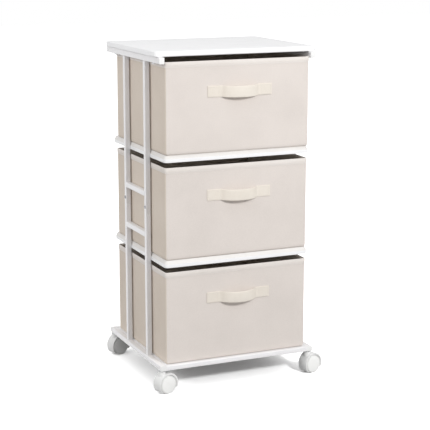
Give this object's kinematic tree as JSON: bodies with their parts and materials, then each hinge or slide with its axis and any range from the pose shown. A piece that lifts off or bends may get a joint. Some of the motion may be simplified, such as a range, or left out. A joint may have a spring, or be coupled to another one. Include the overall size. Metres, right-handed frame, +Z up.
{
  "type": "drawer cart",
  "caption": "Rolling drawer cart: a white tube frame with a board top, cloth drawers with strap handles that slide on shelves, and twin-wheel swivel casters.",
  "frame": {"origin": "the floor under the middle of the base frame", "axes": "+X to the right of someone facing the drawers, -Y out of the drawers' fronts, +Z up"},
  "size_m": [0.4387, 0.3829, 0.7945],
  "materials": {
    "frame_paint": "satin white",
    "white_panel": "white laminate on board",
    "zinc_steel": "zinc plated",
    "bolt_steel": "plain grey",
    "cap_plastic": "moulded white",
    "drawer_cloth": "light beige non-woven cloth",
    "lining_board": "light beige lining on stiff board",
    "strap_cloth": "cream cloth strap",
    "hood_plastic": "moulded white",
    "wheel_plastic": "moulded white"
  },
  "bodies": {
    "frame": {"top_board": "white_panel", "top_rail_left": "frame_paint", "top_rail_right": "frame_paint", "top_rail_caps": "cap_plastic", "base_rail_caps": "cap_plastic", "lower_post_front_left": "frame_paint", "lower_post_front_right": "frame_paint", "lower_post_rear_left": "frame_paint", "lower_post_rear_right": "frame_paint", "upper_post_front_left": "frame_paint", "upper_post_front_right": "frame_paint", "upper_post_rear_left": "frame_paint", "upper_post_rear_right": "frame_paint", "lower_rung_left": "frame_paint", "lower_rung_right": "frame_paint", "upper_rung_left": "frame_paint", "upper_rung_right": "frame_paint", "splice_tubes": "zinc_steel", "splice_bolts": "bolt_steel", "splice_nuts": "zinc_steel", "shelf_upper": "white_panel", "shelf_lower": "white_panel", "shelf_pins": "zinc_steel", "base_rail_left": "frame_paint", "base_rail_right": "frame_paint", "base_rail_front": "frame_paint", "base_rail_rear": "frame_paint", "base_deck": "white_panel", "corner_plates": "frame_paint", "board_screws": "zinc_steel", "deck_screws": "zinc_steel", "caster_bushes": "zinc_steel", "caster_stems": "zinc_steel"},
    "drawer_top": {"drawer_top_shell": "drawer_cloth", "drawer_top_wall_boards": "lining_board", "drawer_top_floor_board": "lining_board", "drawer_top_handle": "strap_cloth"},
    "drawer_middle": {"drawer_middle_shell": "drawer_cloth", "drawer_middle_wall_boards": "lining_board", "drawer_middle_floor_board": "lining_board", "drawer_middle_handle": "strap_cloth"},
    "drawer_bottom": {"drawer_bottom_shell": "drawer_cloth", "drawer_bottom_wall_boards": "lining_board", "drawer_bottom_floor_board": "lining_board", "drawer_bottom_handle": "strap_cloth"},
    "caster_front_left": {"caster_front_left_hood": "hood_plastic", "caster_front_left_axle": "zinc_steel"},
    "caster_front_left_wheel_near_body": {"caster_front_left_wheel_near": "wheel_plastic"},
    "caster_front_left_wheel_far_body": {"caster_front_left_wheel_far": "wheel_plastic"},
    "caster_front_right": {"caster_front_right_hood": "hood_plastic", "caster_front_right_axle": "zinc_steel"},
    "caster_front_right_wheel_near_body": {"caster_front_right_wheel_near": "wheel_plastic"},
    "caster_front_right_wheel_far_body": {"caster_front_right_wheel_far": "wheel_plastic"},
    "caster_rear_left": {"caster_rear_left_hood": "hood_plastic", "caster_rear_left_axle": "zinc_steel"},
    "caster_rear_left_wheel_near_body": {"caster_rear_left_wheel_near": "wheel_plastic"},
    "caster_rear_left_wheel_far_body": {"caster_rear_left_wheel_far": "wheel_plastic"},
    "caster_rear_right": {"caster_rear_right_hood": "hood_plastic", "caster_rear_right_axle": "zinc_steel"},
    "caster_rear_right_wheel_near_body": {"caster_rear_right_wheel_near": "wheel_plastic"},
    "caster_rear_right_wheel_far_body": {"caster_rear_right_wheel_far": "wheel_plastic"}
  },
  "joints": [
    {"name": "drawer_top_slide", "type": "slide", "parent": "frame", "child": "drawer_top", "axis": [0, -1, 0], "range_m": [0, 0.16]},
    {"name": "drawer_middle_slide", "type": "slide", "parent": "frame", "child": "drawer_middle", "axis": [0, -1, 0], "range_m": [0, 0.16]},
    {"name": "drawer_bottom_slide", "type": "slide", "parent": "frame", "child": "drawer_bottom", "axis": [0, -1, 0], "range_m": [0, 0.16]},
    {"name": "caster_front_left_swivel", "type": "hinge", "parent": "frame", "child": "caster_front_left", "pos_m": [-0.19, -0.163, 0.05], "axis": [0, 0, 1], "continuous": true},
    {"name": "caster_front_left_near_wheel_spin", "type": "hinge", "parent": "caster_front_left", "child": "caster_front_left_wheel_near_body", "pos_m": [-0.18044, -0.16008, 0.022], "axis": [0.2924, -0.9563, 0], "continuous": true},
    {"name": "caster_front_left_far_wheel_spin", "type": "hinge", "parent": "caster_front_left", "child": "caster_front_left_wheel_far_body", "pos_m": [-0.18044, -0.16008, 0.022], "axis": [0.2924, -0.9563, 0], "continuous": true},
    {"name": "caster_front_right_swivel", "type": "hinge", "parent": "frame", "child": "caster_front_right", "pos_m": [0.19, -0.163, 0.05], "axis": [0, 0, 1], "continuous": true},
    {"name": "caster_front_right_near_wheel_spin", "type": "hinge", "parent": "caster_front_right", "child": "caster_front_right_wheel_near_body", "pos_m": [0.19956, -0.16008, 0.022], "axis": [0.2924, -0.9563, 0], "continuous": true},
    {"name": "caster_front_right_far_wheel_spin", "type": "hinge", "parent": "caster_front_right", "child": "caster_front_right_wheel_far_body", "pos_m": [0.19956, -0.16008, 0.022], "axis": [0.2924, -0.9563, 0], "continuous": true},
    {"name": "caster_rear_left_swivel", "type": "hinge", "parent": "frame", "child": "caster_rear_left", "pos_m": [-0.19, 0.163, 0.05], "axis": [0, 0, 1], "continuous": true},
    {"name": "caster_rear_left_near_wheel_spin", "type": "hinge", "parent": "caster_rear_left", "child": "caster_rear_left_wheel_near_body", "pos_m": [-0.18044, 0.16592, 0.022], "axis": [0.2924, -0.9563, 0], "continuous": true},
    {"name": "caster_rear_left_far_wheel_spin", "type": "hinge", "parent": "caster_rear_left", "child": "caster_rear_left_wheel_far_body", "pos_m": [-0.18044, 0.16592, 0.022], "axis": [0.2924, -0.9563, 0], "continuous": true},
    {"name": "caster_rear_right_swivel", "type": "hinge", "parent": "frame", "child": "caster_rear_right", "pos_m": [0.19, 0.163, 0.05], "axis": [0, 0, 1], "continuous": true},
    {"name": "caster_rear_right_near_wheel_spin", "type": "hinge", "parent": "caster_rear_right", "child": "caster_rear_right_wheel_near_body", "pos_m": [0.19956, 0.16592, 0.022], "axis": [0.2924, -0.9563, 0], "continuous": true},
    {"name": "caster_rear_right_far_wheel_spin", "type": "hinge", "parent": "caster_rear_right", "child": "caster_rear_right_wheel_far_body", "pos_m": [0.19956, 0.16592, 0.022], "axis": [0.2924, -0.9563, 0], "continuous": true}
  ]
}
